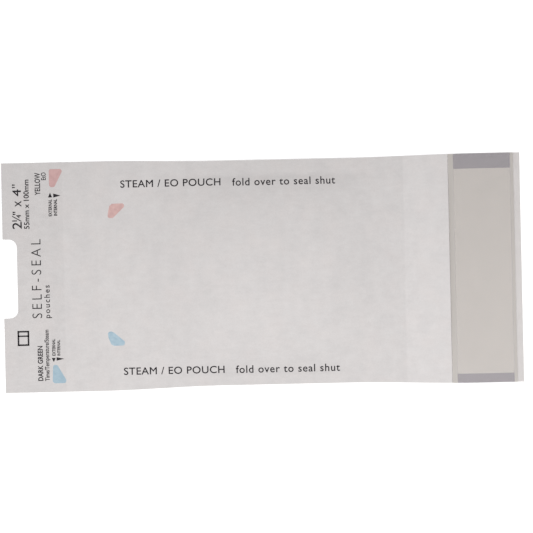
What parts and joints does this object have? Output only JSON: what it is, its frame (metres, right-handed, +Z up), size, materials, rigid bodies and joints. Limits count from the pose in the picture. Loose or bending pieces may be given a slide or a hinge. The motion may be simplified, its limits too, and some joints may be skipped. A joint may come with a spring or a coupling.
{
  "type": "self-seal sterilisation pouch",
  "caption": "Flat paper and film sterilisation pouch with a fold-over adhesive flap, release liner, peel-open notched end and printed process indicators.",
  "frame": {"origin": "middle of the underside, at the lowest point of the film", "axes": "+X from the notched peel end to the flap's end, +Y across to the left side seal, +Z up through the paper side"},
  "size_m": [0.1292, 0.0572, 0.0049],
  "materials": {
    "paper": "matt medical paper",
    "film": "clear laminated film",
    "seal": "fused sealant",
    "adhesive": "pressure-sensitive adhesive",
    "pressed_adhesive": "adhesive wetted out under the seal bar",
    "liner": "calendered release paper",
    "steam_ink": "flat ink",
    "eo_ink": "flat ink"
  },
  "bodies": {
    "pouch": {"film_tab": "film", "film_web": "film", "paper_web": "paper", "end_seal": "seal", "side_seal_left": "seal", "side_seal_right": "seal", "internal_steam_indicator": "steam_ink", "internal_eo_indicator": "eo_ink"},
    "peel_tab": {"paper_tab": "paper", "external_steam_indicator": "steam_ink", "external_eo_indicator": "eo_ink"},
    "flap": {"film_flap": "film", "paper_lip": "paper", "lip_seal_left": "seal", "lip_seal_right": "seal", "adhesive_strip": "adhesive", "adhesive_pressed_ends": "pressed_adhesive"},
    "liner": {"release_liner": "liner"}
  },
  "joints": [
    {"name": "flap_fold", "type": "hinge", "parent": "pouch", "child": "flap", "pos_m": [0.03542, 0, 0.00017], "axis": [0, -1, 0], "range_deg": [0, 160]},
    {"name": "peel_tab_lift", "type": "hinge", "parent": "pouch", "child": "peel_tab", "pos_m": [-0.04927, 0, 0.00017], "axis": [0, 1, 0], "range_deg": [0, 120]},
    {"name": "liner_off", "type": "slide", "parent": "flap", "child": "liner", "axis": [0, 1, 0], "range_m": [0, 0.062]}
  ]
}
